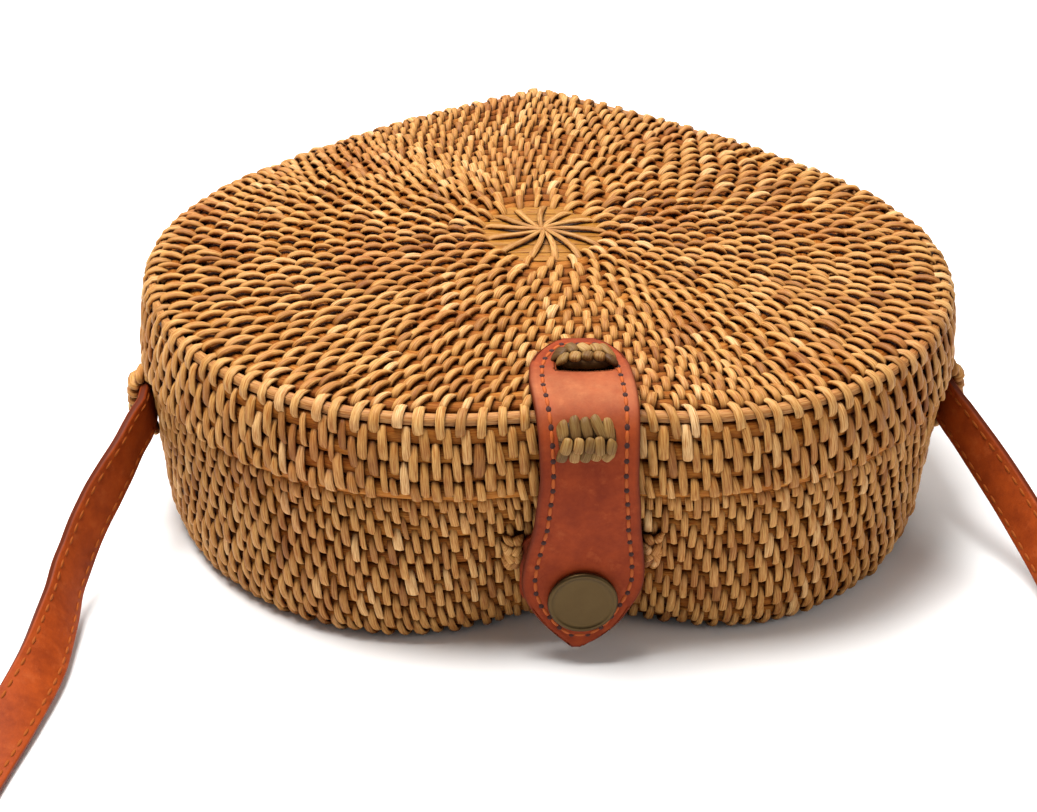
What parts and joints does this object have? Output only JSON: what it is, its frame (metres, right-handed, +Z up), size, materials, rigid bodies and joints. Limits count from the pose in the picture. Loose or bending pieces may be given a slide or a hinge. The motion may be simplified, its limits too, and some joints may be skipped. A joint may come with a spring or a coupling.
{
  "type": "straw basket bag",
  "caption": "Heart-shaped coiled rattan bag with a hinged lid, a leather closure flap with a snap, woven side ears and a stitched leather shoulder strap",
  "frame": {"origin": "on the flat underside of the base basket, below the middle of the heart's length; the notch and the tip of the heart lie on x = 0", "axes": "+Z up through the lid, +Y towards the tip of the heart and the lid hinge, -Y towards the two lobes and the closure flap, +X to the right as seen from the front"},
  "size_m": [0.313, 0.5639, 0.077],
  "materials": {
    "rattan": "smoked honey-tan rattan, satin",
    "pale_rattan": "paler khaki-tan rattan, satin",
    "flap_leather": "waxed reddish tan leather, satin",
    "strap_leather": "waxed orange-brown leather, satin",
    "aged_brass": "aged olive-brown brass, brushed"
  },
  "bodies": {
    "base": {"base_basket": "rattan", "ear_left": "pale_rattan", "ear_right": "pale_rattan", "shoulder_strap": "strap_leather", "strap_rivet_left": "aged_brass", "strap_rivet_right": "aged_brass", "stud_tab": "flap_leather", "snap_stud": "aged_brass", "tab_lashing_left": "pale_rattan", "tab_lashing_right": "pale_rattan", "hinge_loop_left": "pale_rattan", "hinge_loop_right": "pale_rattan", "hinge_pin": "pale_rattan"},
    "lid": {"lid_basket": "rattan", "closure_flap": "flap_leather", "flap_lashing_top": "pale_rattan", "flap_lashing_front": "pale_rattan", "snap_cap": "aged_brass", "snap_socket": "aged_brass", "hinge_loop_lid": "pale_rattan"}
  },
  "joints": [
    {"name": "lid_hinge", "type": "hinge", "parent": "base", "child": "lid", "pos_m": [0, 0.1036, 0.0474], "axis": [-1, 0, 0], "range_deg": [0, 105]}
  ]
}
